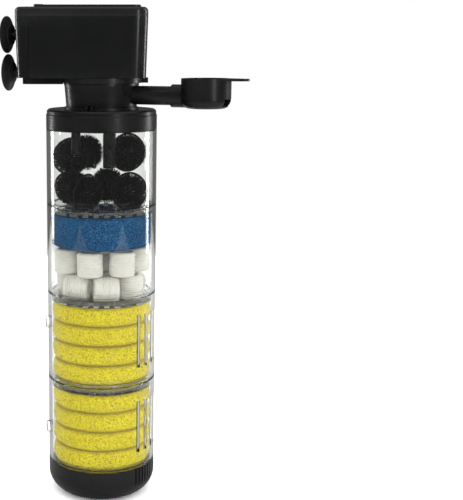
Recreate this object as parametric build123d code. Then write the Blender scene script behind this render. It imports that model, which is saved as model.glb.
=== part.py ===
from build123d import *
import math
import os

# Internal power filter: a stack of clear media barrels on a base cup, with a
# swivelling pump head on top. Millimetres, +Z up. The origin is the centre of
# the base cup's underside, X runs along the pump, and the suction cups are at -X.

# ---- driving dimensions: canister ----
barrel_diameter = 80.0
barrel_wall = 2.5
barrel_height = 65.0
base_height = 25.0
base_round = 16.0
base_wall = 3.0
spigot_depth = 5.5
spigot_wall = 2.2
spigot_gap = 0.3
shoulder_height = 1.0
step_height = 4.0
step_wall = 0.5
floor_thickness = 1.5
floor_slot_width = 3.5
floor_slot_pitch = 7.0
floor_rim = 4.0
edge_break = 0.4
seal_height = 2.0
seal_depth = 1.2
seal_clearance = 0.1

# ---- intake slots and grips, turned to the outlet's side ----
outlet_angle = -23.0
slot_count = 5
slot_pitch_angle = 12.0
slot_width = 2.2
slot_bottom = 13.0
slot_top = 13.0
grip_count = 12
grip_pitch_angle = 5.0
grip_width = 1.6
grip_depth = 0.8
grip_bottom = 8.0
boss_diameter = 9.0
boss_height = 1.9
boss_angle = 191.0
boss_upper_level = 42.0
boss_lower_level = 25.3

# ---- media ----
media_gap = 0.3
sponge_clearance = 0.6
blue_sponge_height = 24.0
sponge_edge = 2.0
ring_diameter = 18.5
ring_length = 18.0
ring_bore = 10.0
ring_count = 7
ring_circle_lower = 24.4
ring_circle_upper = 26.5
ring_turn_lower = -31.0
ring_turn_upper = 46.3
ring_lying_lower = {1: 0.0, 3: 0.0, 5: 28.0, 6: 0.0}
ring_lying_upper = {1: 0.0}
ball_diameter = 28.0
ball_core_diameter = 24.0
ball_band_height = 2.4
ball_wall_gap = 0.4
ball_angles_lower = (78.0, 162.0, 240.0, 328.0)
ball_angles_upper = (36.0, 120.0, 201.0)
ball_rise = 24.8
ball_angle_stacked = 322.0

# ---- cap and neck ----
cap_thickness = 3.5
cap_edge = 1.2
cap_spigot_depth = 11.0
cap_skirt_height = 11.0
cap_skirt_wall = 1.2
cap_skirt_gap = 0.2
cap_disc_step = 0.5
cap_opening_diameter = 32.0
neck_bore = 44.8
neck_wall_bottom = 3.0
neck_wall_top = 4.3
neck_foot_rim = 4.4
neck_foot_height = 1.5
pointer_angle = 253.0
pointer_spread = 3.6
pointer_width = 1.4
pointer_height = 3.0
eye_plate_thickness = 2.0
eye_diameter = 13.0
plate_gap = 0.2
spoke_width = 1.6
suction_tube_diameter = 9.0
suction_tube_wall = 1.2
suction_tube_x = 5.5
suction_tube_y = -28.4
suction_tube_length = 36.0
tube_slot_count = 6
tube_slot_pitch = 4.6
tube_slot_height = 1.6
return_tube_diameter = 6.4
return_tube_x = -17.6
return_tube_y = -26.0
return_tube_length = 26.0

# ---- outlet ----
pipe_diameter = 13.2
pipe_wall = 1.8
pipe_lift = 2.1
pipe_cover = 0.2
pipe_reach = 61.0
socket_wall = 1.3
socket_start = 54.0
running_clearance = 0.08
outlet_seal_width = 1.4
outlet_seal_depth = 0.9
outlet_seal_reach = 57.0
cup_reach = 78.5
cup_diameter = 34.8
cup_wall = 1.8
cup_height = 20.6
cup_below_socket = 0.3
cup_round = 6.0
cup_flat = 16.4
mouth_width = 15.0
mouth_height = 5.0
mouth_lift = 1.6
lip_reach = 30.6
lip_tip_radius = 5.0
lip_thickness = 1.6
lip_root_width = 29.0

# ---- pump ----
collar_height = 5.5
collar_foot_height = 1.5
collar_rim = 0.3
journal_step = 1.5
collar_spigot_height = 1.8
neck_seal_inset = 2.1
neck_seal_width = 1.6
neck_seal_height = 1.2
pump_left = 60.0
pump_right = 32.4
pump_depth = 58.0
pump_height = 42.0
pump_wall = 2.5
pump_corner = 9.6
pump_draft = 1.2
band_thickness = 2.0
band_top = 34.0
band_edge = 50.0
band_gap = 0.3
lid_height = 6.5
lid_edge = 3.0
lid_wall = 2.5
lid_lip = 4.0
lid_gap = 0.2
panel_height = 1.5
panel_left = 47.0
panel_margin = 5.0
gland_x = -45.5
gland_y = 12.0
gland_flange = 8.0
gland_diameter = 6.6
gland_bore = 4.4
gland_rise = 3.0
gland_length = 8.0

# ---- lock ring ----
lock_height = 3.6
lock_rim = 3.7
lock_gap = 0.2
lever_inset = 3.5
lever_width = 14.0
lever_height = 4.6
lever_end_radius = 6.0
rib_count = 3
rib_depth = 0.6
rib_height = 0.8
rib_inset = 2.9
rib_length = 10.5
tab_length = 4.0
tab_width = 10.0

# ---- suction cups ----
socket_boss_diameter = 8.0
socket_boss_height = 1.6
stem_ball_diameter = 5.0
stem_diameter = 2.6
stem_clearance = 0.08
stem_recess = 0.7
suction_diameter = 26.0
suction_hub_diameter = 15.0
suction_neck = 2.9
suction_depth = 4.7
suction_skin = 0.6
suction_facing = 162.0
suction_level_upper = 29.9
suction_level_lower = 3.3

# ---- motor ----
can_diameter = 22.0
can_wall = 1.0
can_length = 40.0
can_clearance = 0.2
can_flange_rim = 5.0
can_flange_height = 1.8
magnet_gap = 1.0
magnet_length = 25.0
magnet_lift = 2.0
shaft_diameter = 3.0
rotor_running = 0.05
bush_diameter = 8.0
bush_height = 3.0
impeller_diameter = 30.0
impeller_plate = 1.5
impeller_gap = 1.0
vane_count = 6
vane_width = 1.4
vane_height = 5.0
hub_diameter = 7.6
core_left = 45.0
core_leg = 8.0
core_right = 15.0
core_gap = 1.0
core_arm = 8.0
core_height = 16.0
core_lift = 11.0
bobbin_wall = 1.0
bobbin_gap = 0.2
bobbin_flange = 1.2
winding_build = 4.0
potting_height = 34.0

# ---- places worked out from the dimensions ----
barrel_radius = barrel_diameter / 2
bore_radius = barrel_radius - barrel_wall
spigot_radius = bore_radius - spigot_gap
throat_radius = spigot_radius - spigot_wall
seams = [base_height + i * barrel_height for i in range(5)]
cap_bottom = seams[4]
cap_top = cap_bottom + cap_thickness
cap_skirt_bottom = cap_bottom - cap_skirt_height
disc_radius = barrel_radius - cap_disc_step
pipe_radius = pipe_diameter / 2
socket_radius = pipe_radius + running_clearance + socket_wall
pipe_z = cap_top + neck_foot_height + pipe_lift + pipe_radius
neck_radius = neck_bore / 2
neck_top = pipe_z + pipe_radius + pipe_cover
collar_radius = neck_radius + neck_wall_top + collar_rim
journal_radius = collar_radius - journal_step
lock_radius = journal_radius + running_clearance + lock_rim
pump_bottom = neck_top + collar_height
pump_top = pump_bottom + pump_height
lid_top = pump_top + lid_height
chamber_floor = cap_top + eye_plate_thickness
can_radius = can_diameter / 2
collar_bore = can_radius + can_clearance
can_bottom = neck_top - collar_spigot_height - can_flange_height
can_top = can_bottom + can_flange_height + can_length
impeller_top = can_bottom - impeller_gap
magnet_bottom = pump_bottom + magnet_lift
shaft_bottom = chamber_floor
shaft_top = can_top - can_wall
core_bottom = pump_bottom + core_lift
core_top = core_bottom + core_height
core_half_gap = can_radius + core_gap
core_half_depth = core_half_gap + core_arm
pump_length = pump_left + pump_right
pump_middle = (pump_right - pump_left) / 2
BASE = (Align.CENTER, Align.CENTER, Align.MIN)


def post(radius, bottom, top, x=0.0, y=0.0):
    """Upright round bar."""
    return Pos(x, y, bottom) * Cylinder(radius, top - bottom, align=BASE)


def tube(outer, inner, bottom, top, x=0.0, y=0.0):
    """Upright tube, given by its two radii."""
    return post(outer, bottom, top, x, y) - post(inner, bottom, top, x, y)


def block(x0, x1, y0, y1, bottom, top):
    """Box between two corners."""
    centre = Pos((x0 + x1) / 2, (y0 + y1) / 2, (bottom + top) / 2)
    return centre * Box(x1 - x0, y1 - y0, top - bottom)


def turned(points):
    """Solid of revolution about Z from a closed outline of (radius, height) points."""
    outline = Plane.XZ * Polyline(*points, close=True)
    return revolve(make_face(outline), Axis.Z, 360)


def around(angle, part):
    """Copy of a part turned about the canister's axis."""
    return Rot(0, 0, angle) * part


def along_outlet(radius, start, end):
    """Round bar on the outlet's axis, before it is turned to the outlet's side."""
    return Pos(start, 0, pipe_z) * Rot(0, 90, 0) * Cylinder(radius, end - start, align=BASE)


def save(name, part):
    """Write one node's STEP file."""
    export_step(part, f"parts/{name}.step")


def group(parts):
    """Several separate solids as one node."""
    return Compound(children=parts)


# ---------------------------------------------------------------- canister

def base_cup():
    """Rounded black cup that the lowest barrel plugs into, with two grip zones."""
    body = post(barrel_radius, 0, base_height)
    body = fillet(body.edges().sort_by(Axis.Z)[0], base_round)
    inner_round = base_round - base_wall
    hollow = post(bore_radius, base_wall, base_height)
    hollow = fillet(hollow.edges().sort_by(Axis.Z)[0], inner_round)
    body = body - hollow
    for side in (outlet_angle, outlet_angle + 180):
        for i in range(grip_count):
            angle = side + (i - (grip_count - 1) / 2) * grip_pitch_angle
            groove = block(barrel_radius - grip_depth, barrel_radius + 1,
                           -grip_width / 2, grip_width / 2, grip_bottom, base_height)
            body = body - around(angle, groove)
    return body


def grille(bottom):
    """Slotted floor of a barrel."""
    plate = post(throat_radius, bottom, bottom + floor_thickness)
    reach = throat_radius - floor_rim
    steps = int((reach - floor_slot_width / 2) // floor_slot_pitch)
    for i in range(-steps, steps + 1):
        x = i * floor_slot_pitch
        edge = abs(x) + floor_slot_width / 2
        half = math.sqrt(reach ** 2 - edge ** 2)
        slot = block(x - floor_slot_width / 2, x + floor_slot_width / 2, -half, half,
                     bottom, bottom + floor_thickness)
        plate = plate - slot
    return plate


def barrel(seam):
    """Clear barrel with a grooved spigot below its seam and a slotted floor."""
    foot = seam - spigot_depth
    groove_bottom = foot + (spigot_depth - seal_height) / 2
    groove_top = groove_bottom + seal_height
    groove_radius = spigot_radius - seal_depth
    top = seam + barrel_height
    wall = turned([
        (throat_radius, foot),
        (spigot_radius, foot),
        (spigot_radius, groove_bottom),
        (groove_radius, groove_bottom),
        (groove_radius, groove_top),
        (spigot_radius, groove_top),
        (spigot_radius, seam),
        (barrel_radius - edge_break, seam),
        (barrel_radius, seam + edge_break),
        (barrel_radius, top - edge_break),
        (barrel_radius - edge_break, top),
        (bore_radius, top),
        (bore_radius, seam + step_height),
        (bore_radius - step_wall, seam + step_height),
        (bore_radius - step_wall, seam + shoulder_height),
        (throat_radius, seam + shoulder_height),
    ])
    return wall + grille(foot)


def intake_barrel(seam, boss_level):
    """Barrel with two groups of upright intake slots and a small side boss."""
    body = barrel(seam)
    boss = Pos(bore_radius + 1, 0, seam + boss_level) * Rot(0, 90, 0)
    boss = boss * Cylinder(boss_diameter / 2, barrel_wall - 1 + boss_height, align=BASE)
    body = body + around(boss_angle, boss)
    for side in (outlet_angle, outlet_angle + 180):
        for i in range(slot_count):
            angle = side + (i - (slot_count - 1) / 2) * slot_pitch_angle
            slot = block(bore_radius - 1, barrel_radius + 1, -slot_width / 2, slot_width / 2,
                         seam + slot_bottom, seam + barrel_height - slot_top)
            body = body - around(angle, slot)
    return body


def ball_barrel():
    """Top barrel, its rim thinned outside for the cap's skirt."""
    rim = barrel_radius - cap_skirt_wall - cap_skirt_gap
    bottom = cap_skirt_bottom - cap_skirt_gap
    return barrel(seams[3]) - tube(barrel_radius + 1, rim, bottom, cap_bottom + 1)


def spigot_seal(seam):
    """Rubber ring in a spigot's groove."""
    bottom = seam - spigot_depth + (spigot_depth - seal_height) / 2
    return tube(bore_radius - seal_clearance, spigot_radius - seal_depth,
                bottom, bottom + seal_height)


def sponge(bottom, top):
    """Plain round sponge with rounded edges."""
    body = post(bore_radius - sponge_clearance, bottom, top)
    return fillet(body.edges(), sponge_edge)


def media_top(seam):
    """Highest level that media may fill in the barrel under this seam."""
    return seam - spigot_depth - media_gap


def sponge_in(index):
    """Tall sponge that fills one intake barrel and stands on its slotted floor."""
    bottom = seams[index] + shoulder_height
    foot = post(throat_radius - sponge_clearance, media_floor(index), bottom + sponge_edge)
    return sponge(bottom, media_top(seams[index + 1])) + foot


def blue_sponge():
    """Thin sponge on top of the ceramic rings."""
    top = media_top(seams[3])
    return sponge(top - blue_sponge_height, top)


def media_floor(index):
    """Level of a barrel's slotted floor, with a small gap."""
    return seams[index] - spigot_depth + floor_thickness + media_gap


def ceramic_ring(x, y, bottom, lying, angle):
    """One ceramic ring, upright or lying with its axis square to the angle."""
    ring = Cylinder(ring_diameter / 2, ring_length) - Cylinder(ring_bore / 2, ring_length)
    if lying:
        return Pos(x, y, bottom + ring_diameter / 2) * Rot(0, 0, angle) * Rot(90, 0, 0) * ring
    return Pos(x, y, bottom + ring_length / 2) * ring


def ceramic_layer(bottom, circle, turn, lying):
    """A ring of rings round one in the middle."""
    rings = [ceramic_ring(0, 0, bottom, False, 0)]
    for i in range(ring_count):
        angle = turn + i * 360 / ring_count
        x = circle * math.cos(math.radians(angle))
        y = circle * math.sin(math.radians(angle))
        rings.append(ceramic_ring(x, y, bottom, i in lying, angle + lying.get(i, 0)))
    return rings


def ceramic_rings():
    """Two layers of loose ceramic rings."""
    lower = media_floor(2)
    upper = lower + ring_diameter + media_gap
    rings = ceramic_layer(lower, ring_circle_lower, ring_turn_lower, ring_lying_lower)
    rings += ceramic_layer(upper, ring_circle_upper, ring_turn_upper, ring_lying_upper)
    return group(rings)


def bio_ball(angle, level):
    """One bio ball against the barrel's wall: a core with a smooth band."""
    reach = bore_radius - ball_diameter / 2 - ball_wall_gap
    ball = Sphere(ball_core_diameter / 2) + Cylinder(ball_diameter / 2, ball_band_height)
    tilt = Rot(angle, 40, 0)
    return around(angle, Pos(reach, 0, level) * tilt * ball)


def bio_balls():
    """Two layers of bio balls round the barrel's wall."""
    lower = media_floor(3) + ball_diameter / 2
    balls = [bio_ball(angle, lower) for angle in ball_angles_lower]
    balls += [bio_ball(angle, lower + ball_rise) for angle in ball_angles_upper]
    balls.append(bio_ball(ball_angle_stacked, lower + ball_diameter + media_gap))
    return group(balls)


# ---------------------------------------------------------------- cap, neck, outlet

def top_cap():
    """Black disc with a spigot inside and a skirt outside that closes the top barrel."""
    foot = cap_bottom - cap_spigot_depth
    groove_bottom = cap_bottom - spigot_depth + (spigot_depth - seal_height) / 2
    groove_top = groove_bottom + seal_height
    groove_radius = spigot_radius - seal_depth
    body = turned([
        (throat_radius, foot),
        (spigot_radius, foot),
        (spigot_radius, groove_bottom),
        (groove_radius, groove_bottom),
        (groove_radius, groove_top),
        (spigot_radius, groove_top),
        (spigot_radius, cap_bottom),
        (barrel_radius - cap_skirt_wall, cap_bottom),
        (barrel_radius - cap_skirt_wall, cap_skirt_bottom),
        (barrel_radius - edge_break, cap_skirt_bottom),
        (barrel_radius, cap_skirt_bottom + edge_break),
        (barrel_radius, cap_bottom - edge_break),
        (barrel_radius - edge_break, cap_bottom),
        (disc_radius, cap_bottom),
        (disc_radius, cap_top - cap_edge),
        (disc_radius - cap_edge, cap_top),
        (cap_opening_diameter / 2, cap_top),
        (cap_opening_diameter / 2, cap_bottom),
        (throat_radius, cap_bottom),
    ])
    return body


def cap_neck():
    """Tapered pump chamber on the cap, bored for the outlet pipe, with a pointer."""
    foot_top = cap_top + neck_foot_height
    foot_radius = neck_radius + neck_foot_rim
    body = turned([
        (neck_radius, cap_top),
        (foot_radius, cap_top),
        (foot_radius, foot_top),
        (neck_radius + neck_wall_bottom, foot_top),
        (neck_radius + neck_wall_top, neck_top),
        (neck_radius, neck_top),
    ])
    body = body - around(outlet_angle, along_outlet(pipe_radius, 0, barrel_radius))
    for side in (-1, 1):
        rib = block(foot_radius - 1, foot_radius + pointer_height,
                    -pointer_width / 2, pointer_width / 2, cap_top, cap_top + pointer_height)
        angle = pointer_angle + side * pointer_spread
        body = body + around(angle, rib)
    return body


def eye_plate():
    """Plate under the impeller: the suction eye and the spider that holds the lower bush."""
    radius = neck_radius - plate_gap
    plate = tube(radius, eye_diameter / 2, cap_top, chamber_floor)
    plate = plate + post(bush_diameter / 2, cap_top, chamber_floor)
    for i in range(3):
        spoke = block(0, eye_diameter / 2 + 1, -spoke_width / 2, spoke_width / 2,
                      cap_top, chamber_floor)
        plate = plate + around(i * 120, spoke)
    return plate


def suction_tube():
    """Slotted tube that hangs from the cap between the bio balls."""
    bottom = cap_bottom - suction_tube_length
    radius = suction_tube_diameter / 2
    body = tube(radius, radius - suction_tube_wall, bottom, cap_bottom,
                suction_tube_x, suction_tube_y)
    for i in range(tube_slot_count):
        level = bottom + (i + 1) * tube_slot_pitch
        slot = block(suction_tube_x - radius, suction_tube_x + radius,
                     suction_tube_y, suction_tube_y + radius, level, level + tube_slot_height)
        body = body - slot
    return body


def return_tube():
    """Thin open tube beside the suction tube."""
    radius = return_tube_diameter / 2
    return tube(radius, radius - suction_tube_wall, cap_bottom - return_tube_length, cap_bottom,
                return_tube_x, return_tube_y)


def outlet_pipe():
    """Pipe from the pump chamber, with a seal groove near its end."""
    start = neck_radius + edge_break
    pipe = along_outlet(pipe_radius, start, pipe_reach)
    pipe = pipe - along_outlet(pipe_radius - pipe_wall, start, pipe_reach)
    groove_end = outlet_seal_reach + outlet_seal_width
    groove = along_outlet(pipe_radius + 1, outlet_seal_reach, groove_end)
    groove = groove - along_outlet(pipe_radius - outlet_seal_depth, outlet_seal_reach, groove_end)
    return around(outlet_angle, pipe - groove)


def outlet_seal():
    """Rubber ring in the pipe's groove."""
    groove_end = outlet_seal_reach + outlet_seal_width
    ring = along_outlet(pipe_radius, outlet_seal_reach, groove_end)
    ring = ring - along_outlet(pipe_radius - outlet_seal_depth, outlet_seal_reach, groove_end)
    return around(outlet_angle, ring)


def cup_form(radius, flat, bottom, top, round_radius):
    """Round cup form with a rounded bottom edge and one flat on its outer side."""
    form = post(radius, bottom, top, cup_reach)
    form = fillet(form.edges().sort_by(Axis.Z)[0], round_radius)
    beyond = cup_reach + flat
    return form - block(beyond, beyond + radius, -radius, radius, bottom, top)


def outlet_cup():
    """Open cup that turns on the pipe, with a low water mouth and a finger lip."""
    radius = cup_diameter / 2
    bottom = pipe_z - socket_radius - cup_below_socket
    top = bottom + cup_height
    body = cup_form(radius, cup_flat, bottom, top, cup_round)
    body = body + along_outlet(socket_radius, socket_start, cup_reach - radius / 2)
    lip_bottom = top - lip_thickness
    tip_x = cup_reach + lip_reach - lip_tip_radius
    root_x = cup_reach + radius / 3
    outline = Polyline((root_x, -lip_root_width / 2), (tip_x, -lip_tip_radius),
                       (tip_x, lip_tip_radius), (root_x, lip_root_width / 2), close=True)
    lip = Pos(0, 0, lip_bottom) * extrude(make_face(outline), amount=lip_thickness)
    body = body + lip
    body = body + post(lip_tip_radius, lip_bottom, top, tip_x)
    hollow = cup_form(radius - cup_wall, cup_flat - cup_wall, bottom + cup_wall, top,
                      cup_round - cup_wall)
    body = body - hollow
    body = body - along_outlet(pipe_radius + running_clearance, socket_start,
                               pipe_reach + running_clearance)
    body = body - along_outlet(pipe_radius - pipe_wall, pipe_reach, cup_reach)
    mouth_bottom = bottom + mouth_lift
    mouth = block(cup_reach, cup_reach + radius, -mouth_width / 2, mouth_width / 2,
                  mouth_bottom, mouth_bottom + mouth_height)
    return around(outlet_angle, body - mouth)


# ---------------------------------------------------------------- pump head

def pump_collar():
    """Round collar that turns on the neck and carries the lock ring."""
    spigot_bottom = neck_top - collar_spigot_height
    foot_top = neck_top + collar_foot_height
    groove_out = neck_radius + neck_seal_inset
    groove_in = groove_out - neck_seal_width
    return turned([
        (collar_bore, spigot_bottom),
        (neck_radius - spigot_gap, spigot_bottom),
        (neck_radius - spigot_gap, neck_top),
        (groove_in, neck_top),
        (groove_in, neck_top + neck_seal_height),
        (groove_out, neck_top + neck_seal_height),
        (groove_out, neck_top),
        (collar_radius, neck_top),
        (collar_radius, foot_top),
        (journal_radius, foot_top),
        (journal_radius, pump_bottom),
        (collar_bore, pump_bottom),
    ])


def neck_seal():
    """Flat rubber ring between the collar and the neck."""
    outer = neck_radius + neck_seal_inset
    return tube(outer, outer - neck_seal_width, neck_top, neck_top + neck_seal_height)


def lock_ring():
    """Ring round the collar with a ribbed lever and a tab opposite."""
    bottom = neck_top + collar_foot_height + lock_gap
    top = bottom + lock_height
    root = collar_radius + lock_gap * 3
    ring = tube(lock_radius, journal_radius + running_clearance, bottom, top)
    half = lever_width / 2
    lever = block(lever_inset - pump_left, -root, -half, half, top - lever_height, top)
    ends = lever.edges().filter_by(Axis.Z).group_by(Axis.X)[0]
    lever = fillet(ends, lever_end_radius)
    rib_start = -root - rib_inset
    for i in range(rib_count):
        level = top - lever_height + (i + 1) * lever_height / (rib_count + 1)
        for side in (-1, 1):
            face = side * half
            cut = block(rib_start - rib_length, rib_start, min(face, face - side * rib_depth),
                        max(face, face - side * rib_depth),
                        level - rib_height / 2, level + rib_height / 2)
            lever = lever - cut
    tab = block(root, lock_radius + tab_length, -tab_width / 2, tab_width / 2, bottom, top)
    return ring + lever + tab


def pump_section(inset, level):
    """Rounded outline of the pump at a level, inset from its outer face."""
    shrink = pump_draft * (pump_top - level) / pump_height + inset
    corner = max(pump_corner - inset, 1.0)
    outline = RectangleRounded(pump_length - 2 * shrink, pump_depth - 2 * shrink, corner)
    return Pos(pump_middle, 0, level) * outline


def pump_form(inset, bottom, top):
    """Solid with the pump's drafted sides between two levels."""
    return loft([pump_section(inset, bottom), pump_section(inset, top)], ruled=True)


def left_of(x, bottom, top):
    """Large box that holds everything left of x."""
    return block(-2 * pump_left, x, -pump_depth, pump_depth, bottom, top)


def pump_cavity(top):
    """Inside of the housing, narrower behind the bracket's recess."""
    floor = pump_bottom + pump_wall
    wide = pump_form(pump_wall, floor, top) - left_of(pump_wall - band_edge, floor, top)
    return wide + pump_form(pump_wall + band_thickness + band_gap, floor, top)


def pump_housing():
    """Drafted box with a recess for the bracket round its left end."""
    band_level = pump_bottom + band_top
    body = pump_form(0, pump_bottom, pump_top)
    recess = left_of(-band_edge, pump_bottom, band_level)
    recess = recess - pump_form(band_thickness + band_gap, pump_bottom, band_level)
    body = body - recess - pump_cavity(pump_top)
    return body - post(collar_bore, pump_bottom, pump_top)


def pump_lid():
    """Rounded lid with a raised panel, an inner lip and the hole for the cable gland."""
    outline = RectangleRounded(pump_length, pump_depth, pump_corner)
    body = Pos(pump_middle, 0, pump_top) * extrude(outline, amount=lid_height)
    body = fillet(body.faces().sort_by(Axis.Z)[-1].edges(), lid_edge)
    ceiling = lid_top - lid_wall
    inner = RectangleRounded(pump_length - 2 * lid_wall, pump_depth - 2 * lid_wall,
                             pump_corner - lid_wall)
    body = body - Pos(pump_middle, 0, pump_top) * extrude(inner, amount=ceiling - pump_top)
    panel_right = pump_right - panel_margin
    panel_length = panel_left + panel_right
    panel = RectangleRounded(panel_length, pump_depth - 2 * panel_margin, pump_corner / 2)
    panel = extrude(panel, amount=panel_height)
    panel = fillet(panel.faces().sort_by(Axis.Z)[-1].edges(), panel_height / 2)
    body = body + Pos((panel_right - panel_left) / 2, 0, lid_top) * panel
    lip_inset = pump_wall + band_thickness + band_gap + lid_gap
    lip_bottom = pump_top - lid_lip
    lip = pump_form(lip_inset, lip_bottom, ceiling)
    lip = lip - pump_form(lip_inset + lid_wall / 2, lip_bottom, ceiling)
    body = body + lip
    return body - post(gland_diameter / 2, lip_bottom, lid_top + gland_rise, gland_x, gland_y)


def cable_gland():
    """Rubber gland in the lid, where the lead leaves."""
    top = lid_top + gland_rise
    ceiling = lid_top - lid_wall
    body = post(gland_diameter / 2, ceiling, top, gland_x, gland_y)
    body = body + post(gland_flange / 2, top - gland_length, ceiling, gland_x, gland_y)
    return body - post(gland_bore / 2, top - gland_length, top, gland_x, gland_y)


def socket_centre(level):
    """Ball centre of a suction cup's socket: x, y, z."""
    face = -(pump_left - pump_draft * (pump_height - level) / pump_height)
    return face - socket_boss_height + stem_recess, 0, pump_bottom + level


def suction_bracket():
    """U-shaped band round the housing's left end with two ball sockets."""
    bottom = pump_bottom + band_gap
    top = pump_bottom + band_top - band_gap
    band = pump_form(0, bottom, top) - pump_form(band_thickness, bottom, top)
    band = band & left_of(-band_edge - band_gap, bottom, top)
    for level in (suction_level_upper, suction_level_lower):
        x, y, z = socket_centre(level)
        mouth = x - stem_recess
        boss = Pos(mouth, y, z) * Rot(0, 90, 0)
        depth = socket_boss_height + band_thickness / 2
        band = band + boss * Cylinder(socket_boss_diameter / 2, depth, align=BASE)
        hole = Cylinder(stem_ball_diameter / 2 + stem_clearance, 2 * depth, align=BASE)
        band = band - boss * hole
    return band


def suction_cup(level):
    """Rubber cup with a ribbed hub and a ball stem, turned to its facing."""
    hub = suction_hub_diameter / 2
    rim = suction_diameter / 2
    back = suction_neck
    front = suction_neck + suction_depth
    body = turned([
        (0, stem_recess),
        (stem_diameter / 2, stem_recess),
        (stem_diameter / 2, back),
        (hub * 0.6, back),
        (hub, back + 0.7),
        (hub, back + 1.1),
        (hub - 0.5, back + 1.4),
        (hub, back + 1.7),
        (hub + 0.8, back + 2.1),
        (rim, front - suction_skin),
        (rim, front),
        (rim - suction_skin, front),
        (hub + 0.6, back + 2.1 + suction_skin * 1.6),
        (0, back + 2.1 + suction_skin),
    ])
    body = body + Sphere(stem_ball_diameter / 2)
    return Pos(*socket_centre(level)) * Rot(0, 0, suction_facing) * Rot(0, 90, 0) * body


# ---------------------------------------------------------------- motor

def rotor_can():
    """Sealed thin-walled tube that the wet rotor turns in."""
    flange_top = can_bottom + can_flange_height
    body = post(can_radius, can_bottom, can_top)
    body = body + post(can_radius + can_flange_rim, can_bottom, flange_top)
    return body - post(can_radius - can_wall, can_bottom, can_top - can_wall)


def rotor_magnet():
    """Magnet cylinder, bored for the fixed shaft."""
    bore = shaft_diameter / 2 + rotor_running
    radius = can_radius - can_wall - magnet_gap
    return tube(radius, bore, magnet_bottom, magnet_bottom + magnet_length)


def rotor_shaft():
    """Fixed ceramic shaft."""
    return post(shaft_diameter / 2, shaft_bottom, shaft_top)


def shaft_bush_upper():
    """Rubber bush at the can's closed end."""
    return tube(bush_diameter / 2, shaft_diameter / 2, shaft_top - bush_height, shaft_top)


def shaft_bush_lower():
    """Rubber bush on the eye plate's spider."""
    bore = shaft_diameter / 2 + rotor_running
    return tube(bush_diameter / 2, bore, chamber_floor, chamber_floor + bush_height)


def impeller():
    """Vaned wheel on a hub that carries the magnet."""
    bore = shaft_diameter / 2 + rotor_running
    plate_bottom = impeller_top - impeller_plate
    hub_bottom = chamber_floor + bush_height + rotor_running * 10
    wheel = post(impeller_diameter / 2, plate_bottom, impeller_top)
    wheel = wheel + post(hub_diameter / 2, hub_bottom, magnet_bottom)
    for i in range(vane_count):
        vane = block(hub_diameter / 4, impeller_diameter / 2 - 1, -vane_width / 2, vane_width / 2,
                     plate_bottom - vane_height, plate_bottom)
        wheel = wheel + around(i * 360 / vane_count, vane)
    return wheel - post(bore, hub_bottom - vane_height, magnet_bottom)


def stator_core():
    """U-shaped laminated core with one arm on each side of the rotor."""
    back = block(-core_left, core_leg - core_left, -core_half_depth, core_half_depth,
                 core_bottom, core_top)
    for side in (-1, 1):
        inner = side * core_half_gap
        outer = side * core_half_depth
        back = back + block(-core_left, core_right, min(inner, outer), max(inner, outer),
                            core_bottom, core_top)
    return back


def leg_sleeve(clearance, build, half_length):
    """Rectangular sleeve round the core's back leg."""
    inner = block(-core_left - clearance, core_leg - core_left + clearance,
                  -half_length, half_length, core_bottom - clearance, core_top + clearance)
    reach = clearance + build
    outer = block(-core_left - reach, core_leg - core_left + reach,
                  -half_length, half_length, core_bottom - reach, core_top + reach)
    return outer - inner


def coil_bobbin():
    """Plastic bobbin with two flanges on the back leg."""
    half = core_half_gap - bobbin_gap
    body = leg_sleeve(bobbin_gap, bobbin_wall, half)
    flange = leg_sleeve(bobbin_gap, bobbin_wall + winding_build + bobbin_gap, bobbin_flange / 2)
    for side in (-1, 1):
        body = body + Pos(0, side * (half - bobbin_flange / 2), 0) * flange
    return body


def coil_winding():
    """Copper winding between the bobbin's flanges."""
    half = core_half_gap - bobbin_gap - bobbin_flange
    return leg_sleeve(bobbin_gap + bobbin_wall, winding_build, half)


def potting():
    """Cast resin that fills the housing round the motor."""
    body = pump_cavity(pump_bottom + potting_height)
    body = body - stator_core() - coil_bobbin() - coil_winding()
    back_gap = block(-core_left - bobbin_gap, core_leg - core_left + bobbin_gap,
                     -core_half_gap, core_half_gap,
                     core_bottom - bobbin_gap, core_top + bobbin_gap)
    return body - back_gap - post(can_radius, can_bottom, can_top)


# ---------------------------------------------------------------- files

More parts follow.
